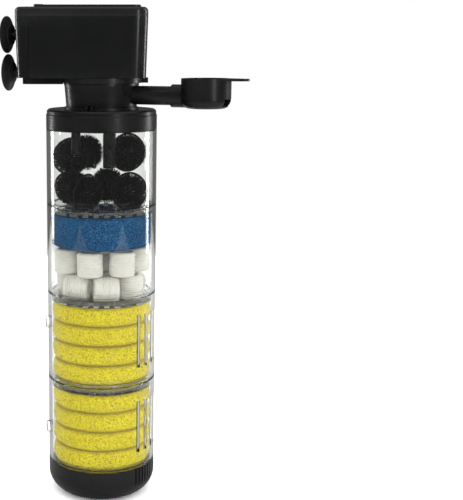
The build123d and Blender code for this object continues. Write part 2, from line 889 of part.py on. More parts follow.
def main():
    """Build every node and write its file."""
    os.makedirs("parts", exist_ok=True)
    nodes = {
        "base_cup": base_cup(),
        "intake_barrel_lower": intake_barrel(seams[0], boss_lower_level),
        "intake_barrel_upper": intake_barrel(seams[1], boss_upper_level),
        "ring_barrel": barrel(seams[2]),
        "ball_barrel": ball_barrel(),
        "seal_base": spigot_seal(seams[0]),
        "seal_lower": spigot_seal(seams[1]),
        "seal_middle": spigot_seal(seams[2]),
        "seal_upper": spigot_seal(seams[3]),
        "seal_cap": spigot_seal(seams[4]),
        "sponge_lower": sponge_in(0),
        "sponge_upper": sponge_in(1),
        "blue_sponge": blue_sponge(),
        "ceramic_rings": ceramic_rings(),
        "bio_balls": bio_balls(),
        "top_cap": top_cap(),
        "cap_neck": cap_neck(),
        "eye_plate": eye_plate(),
        "suction_tube": suction_tube(),
        "return_tube": return_tube(),
        "outlet_pipe": outlet_pipe(),
        "outlet_seal": outlet_seal(),
        "outlet_cup": outlet_cup(),
        "pump_collar": pump_collar(),
        "neck_seal": neck_seal(),
        "lock_ring": lock_ring(),
        "pump_housing": pump_housing(),
        "pump_lid": pump_lid(),
        "cable_gland": cable_gland(),
        "suction_bracket": suction_bracket(),
        "suction_cup_upper": suction_cup(suction_level_upper),
        "suction_cup_lower": suction_cup(suction_level_lower),
        "rotor_can": rotor_can(),
        "rotor_magnet": rotor_magnet(),
        "rotor_shaft": rotor_shaft(),
        "shaft_bush_upper": shaft_bush_upper(),
        "shaft_bush_lower": shaft_bush_lower(),
        "impeller": impeller(),
        "stator_core": stator_core(),
        "coil_bobbin": coil_bobbin(),
        "coil_winding": coil_winding(),
        "potting": potting(),
    }
    for name, part in nodes.items():
        save(name, part)


main()
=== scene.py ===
"""Looks of an internal power filter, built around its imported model.

Each sub-assembly is a dataclass that builds its detailed pieces and dresses its CAD nodes.
"""

import logging
import math
import random
from collections.abc import Callable
from dataclasses import dataclass, field, replace
from enum import Enum

import bpy
from mathutils import Euler, Matrix, Vector, noise


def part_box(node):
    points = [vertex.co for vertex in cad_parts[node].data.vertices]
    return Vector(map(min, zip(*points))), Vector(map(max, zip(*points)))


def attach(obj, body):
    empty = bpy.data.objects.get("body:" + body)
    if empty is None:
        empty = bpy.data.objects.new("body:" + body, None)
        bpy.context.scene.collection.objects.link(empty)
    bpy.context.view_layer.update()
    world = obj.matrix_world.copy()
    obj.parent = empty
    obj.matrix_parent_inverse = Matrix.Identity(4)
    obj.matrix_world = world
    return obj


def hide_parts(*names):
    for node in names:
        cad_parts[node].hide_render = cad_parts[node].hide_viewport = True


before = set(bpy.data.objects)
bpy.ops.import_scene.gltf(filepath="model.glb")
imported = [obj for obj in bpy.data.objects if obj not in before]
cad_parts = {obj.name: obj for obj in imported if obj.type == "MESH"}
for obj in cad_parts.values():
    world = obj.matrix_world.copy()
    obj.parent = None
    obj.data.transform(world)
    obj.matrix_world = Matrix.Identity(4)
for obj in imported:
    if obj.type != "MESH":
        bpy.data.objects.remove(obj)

LOG = logging.getLogger("filter")
MM = 0.001
Colour = tuple[float, float, float]
Point = tuple[float, float, float]
Source = bpy.types.NodeSocket | float | Colour
ALL_SMOOTH = 180.0
MEDIA_SMOOTH = 50.0


class Slot(Enum):
    """Material slots of the record."""

    YELLOW_FOAM = "yellow_foam"
    BLUE_FOAM = "blue_foam"
    CERAMIC = "ceramic"
    BALL = "ball_plastic"


class Lie(Enum):
    """How a loose ceramic ring lies in its layer."""

    UPRIGHT = "upright"
    ACROSS = "across"


# ------------------------------------------------------------------ node helper


class Tree:
    """Short way of writing a material's node tree."""

    def __init__(self, name: str) -> None:
        """Start an empty material.

        Args:
            name: The material's name.
        """
        self.material = bpy.data.materials.new(name)
        self.material.use_nodes = True
        self.nodes = self.material.node_tree.nodes
        self.links = self.material.node_tree.links
        self.nodes.clear()
        self.output = self.nodes.new("ShaderNodeOutputMaterial")
        self.place = self.nodes.new("ShaderNodeTexCoord").outputs["Object"]

    def node(self, kind: str, **sockets: object) -> bpy.types.Node:
        """Add a node and set or link its inputs.

        Args:
            kind: Blender's name of the node type.
            **sockets: Input names, with underscores for spaces, and their values or sources.

        Returns:
            The new node.
        """
        made = self.nodes.new(kind)
        for name, value in sockets.items():
            socket = made.inputs[name.replace("_", " ")]
            if isinstance(value, bpy.types.NodeSocket):
                self.links.new(value, socket)
            else:
                socket.default_value = value
        return made

    def noise(self, scale: float, detail: float = 3.0, roughness: float = 0.55) -> bpy.types.NodeSocket:
        """Noise over the piece.

        Args:
            scale: Cells per metre.
            detail: Octaves.
            roughness: Share of the fine octaves.

        Returns:
            The factor socket.
        """
        made = self.node("ShaderNodeTexNoise", Vector=self.place, Scale=scale, Detail=detail,
                         Roughness=roughness)
        return made.outputs["Fac"]

    def cells(self, scale: float, smooth: float = 0.6) -> bpy.types.NodeSocket:
        """Distance in rounded cells, such as the pores of foam.

        Args:
            scale: Cells per metre.
            smooth: How far neighbouring cells blend.

        Returns:
            The distance socket.
        """
        made = self.nodes.new("ShaderNodeTexVoronoi")
        made.feature = "SMOOTH_F1"
        self.links.new(self.place, made.inputs["Vector"])
        made.inputs["Scale"].default_value = scale
        made.inputs["Smoothness"].default_value = smooth
        return made.outputs["Distance"]

    def spread(self, source: bpy.types.NodeSocket, low: float, high: float,
               start: float = 0.3, end: float = 0.7) -> bpy.types.NodeSocket:
        """Map a factor to a range.

        Args:
            source: The factor.
            low: Result at start.
            high: Result at end.
            start: Factor where the result is low.
            end: Factor where the result is high.

        Returns:
            The mapped socket.
        """
        made = self.nodes.new("ShaderNodeMapRange")
        self.links.new(source, made.inputs["Value"])
        for name, value in (("From Min", start), ("From Max", end), ("To Min", low), ("To Max", high)):
            made.inputs[name].default_value = value
        return made.outputs["Result"]

    def blend(self, factor: Source, first: Source, second: Source) -> bpy.types.NodeSocket:
        """Mix two colours.

        Args:
            factor: Number or socket.
            first: Colour or socket at factor 0.
            second: Colour or socket at factor 1.

        Returns:
            The mixed colour socket.
        """
        made = self.nodes.new("ShaderNodeMix")
        made.data_type = "RGBA"
        for socket, value in ((made.inputs[0], factor), (made.inputs[6], first), (made.inputs[7], second)):
            if isinstance(value, bpy.types.NodeSocket):
                self.links.new(value, socket)
            elif isinstance(value, (int, float)):
                socket.default_value = value
            else:
                socket.default_value = (*value, 1.0)
        return made.outputs[2]

    def times(self, source: bpy.types.NodeSocket, value: Source,
              mode: str = "MULTIPLY") -> bpy.types.NodeSocket:
        """Combine a socket with a number or another socket.

        Args:
            source: The first operand.
            value: The second operand.
            mode: Blender's name of the operation.

        Returns:
            The result socket.
        """
        made = self.nodes.new("ShaderNodeMath")
        made.operation = mode
        self.links.new(source, made.inputs[0])
        if isinstance(value, bpy.types.NodeSocket):
            self.links.new(value, made.inputs[1])
        else:
            made.inputs[1].default_value = value
        return made.outputs[0]

    def bump(self, height: bpy.types.NodeSocket, strength: float, distance: float,
             below: bpy.types.NodeSocket | None = None) -> bpy.types.NodeSocket:
        """Surface relief from a height.

        Args:
            height: The height factor.
            strength: Share of the relief that shows.
            distance: Depth in metres.
            below: Another bump's normal to add to.

        Returns:
            The normal socket.
        """
        made = self.node("ShaderNodeBump", Height=height, Strength=strength, Distance=distance)
        if below is not None:
            self.links.new(below, made.inputs["Normal"])
        return made.outputs["Normal"]

    def finish(self, shader: bpy.types.NodeSocket) -> bpy.types.Material:
        """Send a shader to the output and return the material."""
        self.links.new(shader, self.output.inputs["Surface"])
        return self.material


# ------------------------------------------------------------------ finishes


@dataclass(frozen=True)
class MouldedPlastic:
    """Opaque moulded plastic with a fine grain, faint flow marks and paler edges, partly wear and partly a
    painted highlight.
    """

    name: str
    colour: Colour
    roughness: float = 0.32
    spread: float = 0.08
    grain: float = 0.06
    coat: float = 0.0
    # Strength of the paler edges, partly wear and partly a painted highlight.
    edge: float = 0.5
    specular: float = 0.34

    def material(self) -> bpy.types.Material:
        """Build the node material.

        Returns:
            The finished material.
        """
        tree = Tree(self.name)
        flow = tree.noise(22.0, 4.0)
        grain = tree.noise(2600.0, 2.0)
        smear = tree.noise(75.0, 5.0, 0.65)
        pale = tuple(min(1.0, c * 1.9 + 0.004) for c in self.colour)
        deep = tuple(c * 0.72 for c in self.colour)
        colour = tree.blend(tree.spread(flow, 0.0, 1.0), deep, self.colour)
        # Paler edges from pointiness: partly wear, partly a painted highlight along the edges.
        point = tree.nodes.new("ShaderNodeNewGeometry").outputs["Pointiness"]
        edge_wear_and_highlight = tree.times(tree.spread(point, 0.0, self.edge, 0.53, 0.62), tree.spread(smear, 0.3, 1.0))
        colour = tree.blend(edge_wear_and_highlight, colour, pale)
        rough = tree.spread(smear, self.roughness - self.spread, self.roughness + self.spread)
        normal = tree.bump(grain, self.grain, 0.00006)
        normal = tree.bump(flow, 0.05, 0.0004, normal)
        shader = tree.node("ShaderNodeBsdfPrincipled", Base_Color=colour, Roughness=rough,
                           Normal=normal, IOR=1.5, Coat_Weight=self.coat, Coat_Roughness=0.12)
        shader.inputs["Specular IOR Level"].default_value = self.specular
        return tree.finish(shader.outputs[0])


@dataclass(frozen=True)
class ClearPlastic:
    """Clear moulded wall that bends light, with faint flow ripples and handling haze."""

    name: str
    tint: Colour = (0.955, 0.968, 0.952)
    smear_tint: Colour = (0.90, 0.92, 0.895)
    roughness: float = 0.015
    haze: float = 0.03
    ripple: float = 0.06

    def material(self) -> bpy.types.Material:
        """Build the node material.

        Returns:
            The finished material.
        """
        tree = Tree(self.name)
        smear = tree.noise(28.0, 5.0, 0.6)
        flow = tree.noise(90.0, 2.0)
        colour = tree.blend(tree.spread(smear, 0.0, 1.0), self.tint, self.smear_tint)
        rough = tree.spread(smear, self.roughness, self.roughness + self.haze)
        wall = tree.node("ShaderNodeBsdfPrincipled", Base_Color=colour, Roughness=rough, IOR=1.49,
                         Normal=tree.bump(flow, self.ripple, 0.0002), Transmission_Weight=1.0)
        return tree.finish(wall.outputs[0])


@dataclass(frozen=True)
class ThinSilicone:
    """Wet clear silicone ring that all but vanishes between two clear walls."""

    name: str
    colour: Colour = (0.80, 0.82, 0.79)
    cover: float = 0.07

    def material(self) -> bpy.types.Material:
        """Build the node material.

        Returns:
            The finished material.
        """
        tree = Tree(self.name)
        cloud = tree.noise(120.0, 4.0)
        shine = tree.node("ShaderNodeBsdfPrincipled", Base_Color=(*self.colour, 1.0),
                          Roughness=tree.spread(cloud, 0.15, 0.3), Normal=tree.bump(cloud, 0.1, 0.0002))
        through = tree.nodes.new("ShaderNodeBsdfTransparent")
        mixed = tree.nodes.new("ShaderNodeMixShader")
        tree.links.new(tree.spread(cloud, self.cover * 0.6, self.cover * 1.4), mixed.inputs[0])
        tree.links.new(through.outputs[0], mixed.inputs[1])
        tree.links.new(shine.outputs[0], mixed.inputs[2])
        return tree.finish(mixed.outputs[0])


@dataclass(frozen=True)
class OpenFoam:
    """Open-cell filter foam with small dark pores and bright struts."""

    name: str
    colour: Colour
    pore: Colour
    strut: Colour
    cell: float = 1150.0
    # Painted shade: a darker colour at the waists between lobes, where shade falls.
    crease_shade_colour: Colour = (0.0, 0.0, 0.0)
    crease_shade_share: float = 0.0
    crease_low: float = 0.0
    crease_pitch: float = 1.0

    def crease_shade_mask(self, tree: Tree) -> bpy.types.NodeSocket:
        """Share of painted crease shade, full at each waist between two lobes, where shade falls.

        Args:
            tree: The tree it is built in.

        Returns:
            The factor socket.
        """
        split = tree.node("ShaderNodeSeparateXYZ", Vector=tree.place)
        level = tree.times(split.outputs["Z"], self.crease_low, "SUBTRACT")
        level = tree.times(level, math.pi / self.crease_pitch)
        wave = tree.times(tree.times(level, 0.0, "COSINE"), 2.0, "POWER")
        return tree.times(tree.times(wave, 9.0, "POWER"), self.crease_shade_share)

    def material(self) -> bpy.types.Material:
        """Build the node material.

        Returns:
            The finished material.
        """
        tree = Tree(self.name)
        pores = tree.cells(self.cell)
        fine = tree.noise(self.cell * 1.3, 2.0)
        patch = tree.noise(60.0, 3.0)
        colour = tree.blend(tree.spread(pores, 0.0, 1.0, 0.42, 0.18), self.colour, self.pore)
        colour = tree.blend(tree.spread(fine, 0.9, 0.0, 0.34, 0.47), colour, self.pore)
        colour = tree.blend(tree.spread(fine, 0.0, 0.8, 0.52, 0.68), colour, self.strut)
        colour = tree.blend(tree.spread(patch, 0.0, 0.15), colour, self.pore)
        # Painted shade in the creases between the lobes.
        if self.crease_shade_share:
            colour = tree.blend(self.crease_shade_mask(tree), colour, self.crease_shade_colour)
        normal = tree.bump(pores, 0.9, 0.0009)
        normal = tree.bump(fine, 0.45, 0.0002, normal)
        shader = tree.node("ShaderNodeBsdfPrincipled", Base_Color=colour, Normal=normal,
                           Roughness=tree.spread(fine, 0.82, 0.98))
        shader.inputs["Specular IOR Level"].default_value = 0.15
        return tree.finish(shader.outputs[0])


@dataclass(frozen=True)
class FiredCeramic:
    """Porous ivory ceramic, a little dusty and darker in its pores."""

    name: str
    colour: Colour = (0.84, 0.80, 0.72)
    dust: Colour = (0.93, 0.915, 0.87)
    pore: Colour = (0.42, 0.38, 0.31)

    def material(self) -> bpy.types.Material:
        """Build the node material.

        Returns:
            The finished material.
        """
        tree = Tree(self.name)
        cloud = tree.noise(130.0, 5.0)
        grit = tree.noise(2200.0, 3.0)
        colour = tree.blend(tree.spread(cloud, 0.0, 0.8), self.colour, self.dust)
        colour = tree.blend(tree.spread(grit, 0.0, 0.5, 0.58, 0.76), colour, self.pore)
        normal = tree.bump(grit, 0.35, 0.00025)
        shader = tree.node("ShaderNodeBsdfPrincipled", Base_Color=colour, Normal=normal,
                           Roughness=tree.spread(cloud, 0.72, 0.92))
        shader.inputs["Specular IOR Level"].default_value = 0.3
        return tree.finish(shader.outputs[0])


@dataclass(frozen=True)
class SoftRubber:
    """Moulded rubber with a faint bloom."""

    name: str
    colour: Colour = (0.011, 0.011, 0.0115)
    bloom: Colour = (0.045, 0.045, 0.047)
    roughness: float = 0.42

    def material(self) -> bpy.types.Material:
        """Build the node material.

        Returns:
            The finished material.
        """
        tree = Tree(self.name)
        cloud = tree.noise(160.0, 5.0, 0.65)
        grain = tree.noise(1800.0, 2.0)
        colour = tree.blend(tree.spread(cloud, 0.0, 0.45, 0.5, 0.8), self.colour, self.bloom)
        rough = tree.spread(cloud, self.roughness - 0.1, self.roughness + 0.14)
        shader = tree.node("ShaderNodeBsdfPrincipled", Base_Color=colour, Roughness=rough,
                           Normal=tree.bump(grain, 0.2, 0.0001))
        return tree.finish(shader.outputs[0])


@dataclass(frozen=True)
class WorkedMetal:
    """Metal with fine lines along one axis: stacked sheets, wound wire or ground ferrite."""

    name: str
    colour: Colour
    line: Colour
    axis: str = "Z"
    pitch: float = 1600.0
    roughness: float = 0.38
    metallic: float = 1.0

    def material(self) -> bpy.types.Material:
        """Build the node material.

        Returns:
            The finished material.
        """
        tree = Tree(self.name)
        wave = tree.node("ShaderNodeTexWave", Vector=tree.place, Scale=self.pitch / 6.0, Distortion=0.4)
        wave.bands_direction = self.axis
        lines = wave.outputs["Fac"]
        cloud = tree.noise(90.0, 4.0)
        colour = tree.blend(tree.spread(lines, 0.0, 1.0, 0.2, 0.8), self.line, self.colour)
        shader = tree.node("ShaderNodeBsdfPrincipled", Base_Color=colour, Metallic=self.metallic,
                           Roughness=tree.spread(cloud, self.roughness - 0.08, self.roughness + 0.1),
                           Normal=tree.bump(lines, 0.5, 0.00012))
        return tree.finish(shader.outputs[0])


BLACK = MouldedPlastic("satin_black_plastic", (0.0038, 0.0044, 0.0039), 0.30, 0.07)
GLOSS_BLACK = MouldedPlastic("pump_black_plastic", (0.0034, 0.0040, 0.0036), 0.22, 0.06, 0.05, 0.15)
LID_BLACK = MouldedPlastic("lid_black_plastic", (0.0072, 0.0080, 0.0075), 0.27, 0.06, 0.06, 0.08)
BALL_BLACK = MouldedPlastic("bio_ball_plastic", (0.0045, 0.0045, 0.0043), 0.34, 0.08, 0.06)
BOBBIN_WHITE = MouldedPlastic("bobbin_plastic", (0.62, 0.61, 0.57), 0.45)
RESIN = MouldedPlastic("cast_resin", (0.03, 0.03, 0.033), 0.28, 0.1, 0.05)
CLEAR = ClearPlastic("clear_barrel_plastic")
CLEAR_RUBBER = ThinSilicone("clear_silicone")
# The last colour and share paint shade into the waists between the sponge's lobes.
YELLOW = OpenFoam("yellow_foam", (0.97, 0.79, 0.003), (0.46, 0.33, 0.001), (1.0, 0.97, 0.05), 760.0,
                  (0.36, 0.25, 0.002), 0.75)
BLUE = OpenFoam("blue_foam", (0.004, 0.080, 0.24), (0.0015, 0.030, 0.11), (0.12, 0.38, 0.62), 1200.0)
IVORY = FiredCeramic("ivory_ceramic")
RUBBER = SoftRubber("black_rubber")
SHEETS = WorkedMetal("stacked_core_sheets", (0.42, 0.43, 0.45), (0.13, 0.13, 0.14))
COPPER = WorkedMetal("enamelled_copper", (0.62, 0.22, 0.08), (0.20, 0.06, 0.02), "Y", 2500.0, 0.3)
FERRITE = WorkedMetal("ground_ferrite", (0.055, 0.055, 0.06), (0.03, 0.03, 0.033), "Z", 900.0, 0.5, 0.4)


# ------------------------------------------------------------------ mesh helpers


def dress(material: bpy.types.Material, *nodes: str) -> None:
    """Give CAD nodes a material.

    Args:
        material: The finish's material.
        *nodes: Names of the CAD nodes.
    """
    for name in nodes:
        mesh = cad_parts[name].data
        mesh.materials.clear()
        mesh.materials.append(material)
        LOG.info("dressed %s with %s", name, material.name)


def piece(name: str, verts: list[Point], faces: list[tuple[int, ...]], material: bpy.types.Material,
          smooth: float = 40.0) -> bpy.types.Object:
    """Make a mesh object.

    Args:
        name: The piece's name.
        verts: Its points, in metres.
        faces: Its faces, as indices of points.
        material: Its material.
        smooth: Angle in degrees under which edges are shaded smooth.

    Returns:
        The new object.
    """
    mesh = bpy.data.meshes.new(name)
    mesh.from_pydata(verts, [], faces)
    mesh.update()
    made = bpy.data.objects.new(name, mesh)
    bpy.context.scene.collection.objects.link(made)
    mesh.materials.append(material)
    mesh.shade_smooth()
    mesh.set_sharp_from_angle(angle=math.radians(smooth))
    return made


class Shape:
    """Points and faces that grow as forms are added."""

    def __init__(self) -> None:
        """Start empty."""
        self.verts: list[Point] = []
        self.faces: list[tuple[int, ...]] = []

    def add(self, verts: list[Vector], faces: list[tuple[int, ...]], place: Matrix) -> None:
        """Add points and faces, moved to a place.

        Args:
            verts: Points in the form's own frame.
            faces: Faces, as indices of those points.
            place: Where the form goes.
        """
        base = len(self.verts)
        self.verts += [tuple(place @ v) for v in verts]
        self.faces += [tuple(base + i for i in face) for face in faces]


def lathe(outline: list[tuple[float, float]], steps: int, closed: bool = False,
          shift: Callable[[float, float, float], float] | None = None,
          ) -> tuple[list[Vector], list[tuple[int, ...]]]:
    """Turn an outline of (radius, height) about Z.

    Args:
        outline: Points from one end to the other; radius 0 makes a pole.
        steps: Steps round the axis.
        closed: True joins the outline's end to its start, as for a ring.
        shift: Optional function of (angle, radius, height) that gives a new radius.

    Returns:
        Points and faces.
    """
    verts: list[Vector] = []
    rows: list[list[int]] = []
    for radius, height in outline:
        if radius <= 1e-9:
            rows.append([len(verts)] * steps)
            verts.append(Vector((0, 0, height)))
            continue
        row = []
        for i in range(steps):
            angle = 2 * math.pi * i / steps
            r = shift(angle, radius, height) if shift else radius
            row.append(len(verts))
            verts.append(Vector((r * math.cos(angle), r * math.sin(angle), height)))
        rows.append(row)
    pairs = list(zip(rows, rows[1:]))
    if closed:
        pairs.append((rows[-1], rows[0]))
    faces: list[tuple[int, ...]] = []
    for low, high in pairs:
        for i in range(steps):
            j = (i + 1) % steps
            corners = list(dict.fromkeys((low[i], low[j], high[j], high[i])))
            if len(corners) > 2:
                faces.append(tuple(corners))
    return verts, faces


def arc(cx: float, cz: float, radius: float, start: float, end: float,
        steps: int) -> list[tuple[float, float]]:
    """Points along an arc in an outline, with angles in degrees."""
    turns = [math.radians(start + (end - start) * i / steps) for i in range(steps + 1)]
    return [(cx + radius * math.cos(t), cz + radius * math.sin(t)) for t in turns]


# ------------------------------------------------------------------ media


@dataclass
class LobedSponge:
    """Yellow filter sponge, moulded with rounded lobes one above the other."""

    node: str
    body: str
    lobes: int = 4
    waist: float = 3.4 * MM
    fullness: float = 0.42
    lean: float = 0.9 * MM
    lean_bias: float = 0.2 * MM
    lean_scale: float = 45.0
    foot_inset: float = 2.5 * MM
    foot_height: float = 4.7 * MM
    foot_edge: float = 0.6 * MM
    foot_rows: tuple[float, ...] = (0.3, 0.5, 0.7, 0.9)
    end_rings: int = 12
    steps: int = 300
    rows: int = 44
    rough: float = 0.28 * MM
    rough_scale: float = 1300.0

    def outline(self, radius: float, low: float, high: float) -> list[tuple[float, float]]:
        """Outline with a narrower foot and one bulge per lobe.

        Args:
            radius: Largest radius.
            low: Bottom level.
            high: Top level.

        Returns:
            Points of (radius, height) from the bottom's centre to the top's centre.
        """
        body = low + self.foot_height
        pitch = (high - body) / self.lobes
        foot = radius - self.foot_inset
        side = [(foot - self.foot_edge, low), (foot, low + self.foot_edge)]
        side += [(foot, low + self.foot_height * share) for share in self.foot_rows]
        for lobe in range(self.lobes):
            for i in range(self.rows):
                share = i / self.rows
                bulge = abs(math.sin(math.pi * share)) ** self.fullness
                side.append((radius - self.waist * (1 - bulge), body + (lobe + share) * pitch))
        side.append((radius - self.waist, high))
        ends = [r * (radius - self.waist) / self.end_rings for r in range(self.end_rings)]
        return [(r, low) for r in ends] + side + [(r, high) for r in reversed(ends)]

    def build(self) -> bpy.types.Object:
        """Build the sponge in the place of its plain solid.

        Returns:
            The finished piece.
        """
        low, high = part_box(self.node)
        radius = (high.x - low.x) / 2 - self.rough
        centre = (high.x + low.x) / 2

        def ragged(angle: float, r: float, z: float) -> float:
            """Radius roughened by the foam's pores and a slow lean.

            Args:
                angle: Angle round the sponge.
                r: Radius before roughening.
                z: Height.

            Returns:
                The new radius.
            """
            at = Vector((r * math.cos(angle), r * math.sin(angle), z))
            fine = noise.noise(at * self.rough_scale) * self.rough
            seed = Vector((0, 0, low.z * 100))
            slow = noise.noise(at * self.lean_scale + seed) * self.lean * 0.5
            return r + fine + min(0.0, slow - self.lean_bias)

        verts, faces = lathe(self.outline(radius, low.z, high.z), self.steps, shift=ragged)
        shape = Shape()
        shape.add(verts, faces, Matrix.Translation((centre, (high.y + low.y) / 2, 0)))
        body = low.z + self.foot_height
        finish = replace(YELLOW, name=f"{self.node}_foam", crease_low=body,
                         crease_pitch=(high.z - body) / self.lobes)
        made = piece(f"{self.node}_foam", shape.verts, shape.faces, finish.material(),
                     ALL_SMOOTH)
        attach(made, self.body)
        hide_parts(self.node)
        LOG.info("built %s", made.name)
        return made


@dataclass
class DiscSponge:
    """Thin blue sponge with soft edges and a slightly uneven rim."""

    node: str = "blue_sponge"
    body: str = "ring_barrel"
    edge: float = 2.2 * MM
    edge_steps: int = 6
    rough: float = 0.3 * MM
    rim_scale: float = 1500.0
    face_scale: float = 1400.0
    wave: float = 0.6 * MM
    wave_bias: float = 0.1 * MM
    wave_scale: float = 60.0
    steps: int = 320
    rows: int = 40
    face_rings: int = 30

    def build(self) -> bpy.types.Object:
        """Build the sponge in the place of its plain solid.

        Returns:
            The finished piece.
        """
        low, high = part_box(self.node)
        radius = (high.x - low.x) / 2 - self.rough
        bottom = low.z + self.rough
        top = high.z - self.rough
        flat = radius - self.edge
        rings = [flat * i / self.face_rings for i in range(self.face_rings)]
        side = arc(flat, bottom + self.edge, self.edge, -90, 0, self.edge_steps)
        side += [(radius, bottom + self.edge + (top - bottom - 2 * self.edge) * i / self.rows)
                 for i in range(1, self.rows)]
        side += arc(flat, top - self.edge, self.edge, 0, 90, self.edge_steps)
        outline = [(r, bottom) for r in rings] + side + [(r, top) for r in reversed(rings)]

        def ragged(angle: float, r: float, z: float) -> float:
            """Radius roughened by the foam's pores and a slow wave.

            Args:
                angle: Angle round the sponge.
                r: Radius before roughening.
                z: Height.

            Returns:
                The new radius.
            """
            at = Vector((r * math.cos(angle), r * math.sin(angle), z))
            fine = noise.noise(at * self.rim_scale) * self.rough
            slow = noise.noise(at * self.wave_scale) * self.wave
            return r + fine + min(0.0, slow - self.wave_bias) * r / radius

        verts, faces = lathe(outline, self.steps, shift=ragged)
        wavy = [Vector((v.x, v.y, v.z + noise.noise(v * self.face_scale) * self.rough)) for v in verts]
        shape = Shape()
        shape.add(wavy, faces, Matrix.Translation(((high.x + low.x) / 2, (high.y + low.y) / 2, 0)))
        made = piece("blue_sponge_foam", shape.verts, shape.faces, MATERIALS["blue"], ALL_SMOOTH)
        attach(made, self.body)
        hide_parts(self.node)
        LOG.info("built %s", made.name)
        return made


@dataclass
class CeramicRings:
    """Two layers of loose grooved ceramic rings."""

    node: str = "ceramic_rings"
    body: str = "ring_barrel"
    diameter: float = 18.5 * MM
    length: float = 18.0 * MM
    bore: float = 10.0 * MM
    layer_gap: float = 0.3 * MM
    count: int = 7
    circles: tuple[float, float] = (24.4 * MM, 26.5 * MM)
    turns: tuple[float, float] = (-31.0, 46.3)
    across: tuple[dict[int, float], ...] = field(
        default_factory=lambda: ({1: 0.0, 3: 0.0, 5: 28.0, 6: 0.0}, {1: 0.0}))
    corner: float = 2.6 * MM
    corner_steps: int = 7
    bore_edge: float = 0.8 * MM
    bore_steps: int = 4
    clearance: float = 0.05 * MM
    groove: float = 0.42 * MM
    groove_pitch: float = 1.6 * MM
    side_steps: int = 84
    steps: int = 56
    unevenness: float = 0.02
    seed: int = 11

    def outline(self) -> list[tuple[float, float]]:
        """Closed outline of one ring with rounded ends and a grooved side.

        Returns:
            Points of (radius, height) round the section.
        """
        outer = self.diameter / 2 - self.clearance
        inner = self.bore / 2
        half = self.length / 2
        flat = outer - self.corner
        points = arc(flat, self.corner - half, self.corner, -90, 0, self.corner_steps)
        span = self.length - 2 * self.corner
        for i in range(1, self.side_steps):
            level = -span / 2 + span * i / self.side_steps
            wave = 0.5 + 0.5 * math.cos(2 * math.pi * level / self.groove_pitch)
            points.append((outer - self.groove * wave ** 2, level))
        points += arc(flat, half - self.corner, self.corner, 0, 90, self.corner_steps)
        edge = self.bore_edge
        points += arc(inner + edge, half - edge, edge, 90, 180, self.bore_steps)
        points += arc(inner + edge, edge - half, edge, 180, 270, self.bore_steps)
        return points

    def build(self) -> bpy.types.Object:
        """Build all rings in one piece, in place of the plain group.

        Returns:
            The finished piece.
        """
        rng = random.Random(self.seed)
        low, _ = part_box(self.node)
        verts, faces = lathe(self.outline(), self.steps, closed=True)
        shape = Shape()
        for layer, circle in enumerate(self.circles):
            bottom = low.z + layer * (self.diameter + self.layer_gap)
            self.place(shape, verts, faces, Vector((0, 0, bottom)), Lie.UPRIGHT, 0.0, rng)
            lying = self.across[layer]
            for i in range(self.count):
                angle = self.turns[layer] + i * 360 / self.count
                turn = math.radians(angle)
                foot = Vector((circle * math.cos(turn), circle * math.sin(turn), bottom))
                lie = Lie.ACROSS if i in lying else Lie.UPRIGHT
                turn += math.radians(lying.get(i, 0.0))
                self.place(shape, verts, faces, foot, lie, turn, rng)
        made = piece("ceramic_rings_grooved", shape.verts, shape.faces, MATERIALS["ceramic"],
                     MEDIA_SMOOTH)
        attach(made, self.body)
        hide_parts(self.node)
        LOG.info("built %s", made.name)
        return made

    def place(self, shape: Shape, verts: list[Vector], faces: list[tuple[int, ...]], foot: Vector,
              lie: Lie, turn: float, rng: random.Random) -> None:
        """Add one ring, a little uneven.

        Args:
            shape: The shape that it joins.
            verts: Points of one ring.
            faces: Faces of one ring.
            foot: Point under the ring's middle.
            lie: Upright or across.
            turn: Angle of its place round the barrel, in radians.
            rng: Seeded random source.
        """
        lift = self.length / 2 if lie is Lie.UPRIGHT else self.diameter / 2
        tilt = Euler((0, 0, turn)).to_matrix().to_4x4()
        if lie is Lie.ACROSS:
            tilt = tilt @ Euler((math.pi / 2, 0, 0)).to_matrix().to_4x4()
        bend = self.unevenness
        lean = Euler((rng.uniform(-bend, bend), rng.uniform(-bend, bend), rng.uniform(0, 6.28)))
        at = Matrix.Translation(foot + Vector((0, 0, lift))) @ tilt @ lean.to_matrix().to_4x4()
        shape.add(verts, faces, at)


